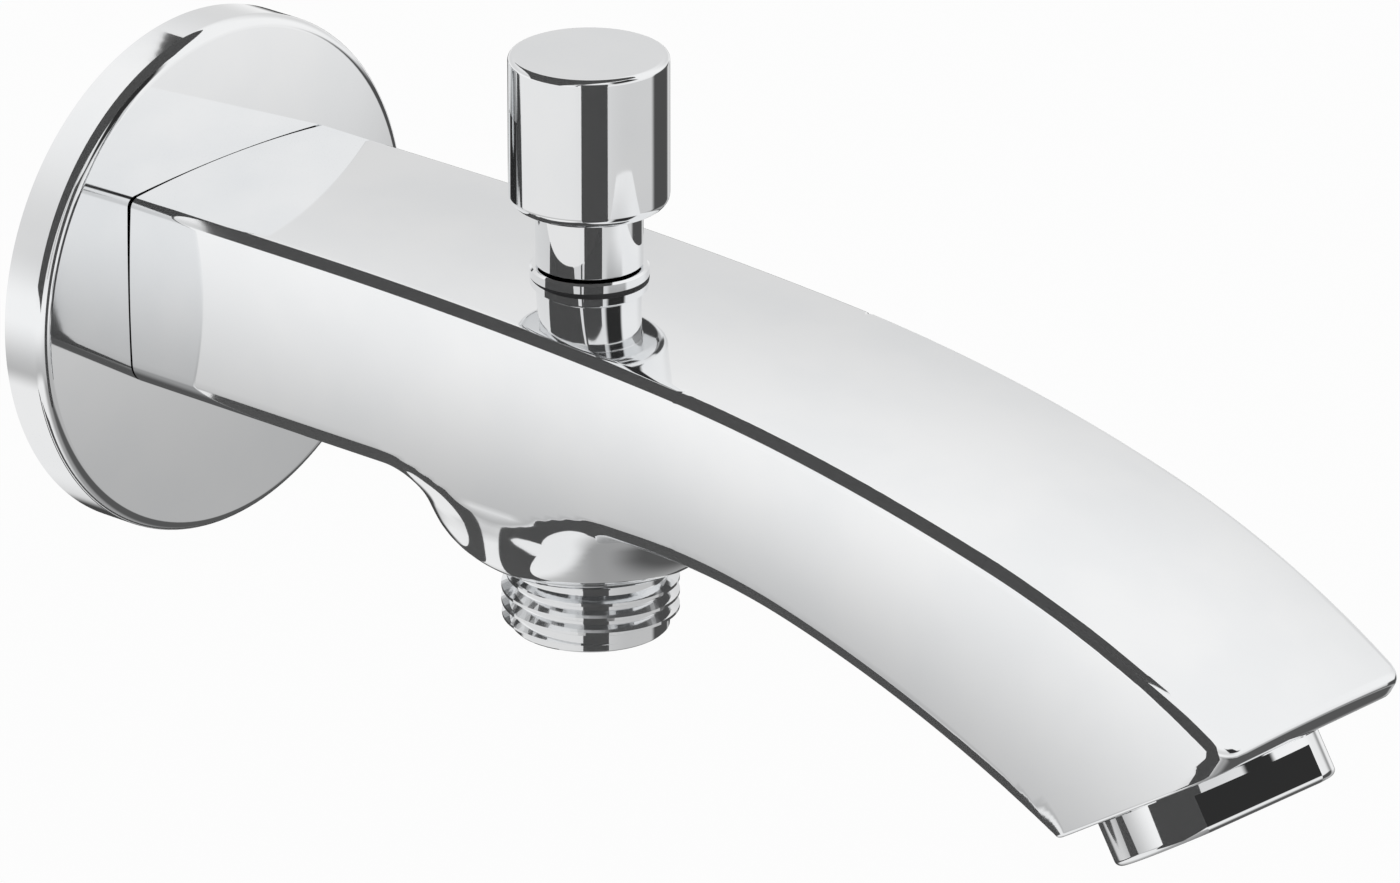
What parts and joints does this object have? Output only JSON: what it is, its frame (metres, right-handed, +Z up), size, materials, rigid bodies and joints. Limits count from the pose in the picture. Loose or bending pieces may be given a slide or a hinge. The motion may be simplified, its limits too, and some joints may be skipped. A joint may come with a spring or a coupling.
{
  "type": "bath spout",
  "caption": "Wall-mounted bath spout: arched box-section body, round wall flange, lift-knob diverter, threaded hand-shower outlet under a valve pod and an aerator in the slanted nose.",
  "frame": {"origin": "on the inlet axis, in the wall plane behind the flange", "axes": "+X out of the wall towards the nose, +Z up along the lift of the knob"},
  "size_m": [0.187, 0.0636, 0.0755],
  "materials": {
    "chrome": "polished chrome plate on brass",
    "brass": "turned brass",
    "rubber": "matt black moulded rubber",
    "steel": "bright stainless wire and sheet",
    "plastic": "pale grey moulded acetal"
  },
  "bodies": {
    "spout": {"spout_body": "chrome", "wall_flange": "chrome", "gland_nut": "chrome", "outlet_nipple": "chrome", "aerator_shell": "chrome", "gland_washer": "rubber", "spindle_o_rings": "rubber", "nipple_o_ring": "rubber", "aerator_washer": "rubber", "return_spring": "steel", "aerator_screens": "steel", "aerator_cup": "plastic", "aerator_diffuser": "plastic"},
    "plunger": {"diverter_knob": "chrome", "diverter_spindle": "brass", "valve_disc": "brass", "upper_valve_washer": "rubber", "lower_valve_washer": "rubber", "valve_nut": "brass"}
  },
  "joints": [
    {"name": "diverter_lift", "type": "slide", "parent": "spout", "child": "plunger", "axis": [0, 0, 1], "range_m": [0, 0.008], "stiffness_N_per_m": 150, "springref_m": -0.01, "deforming": ["return_spring"]}
  ]
}
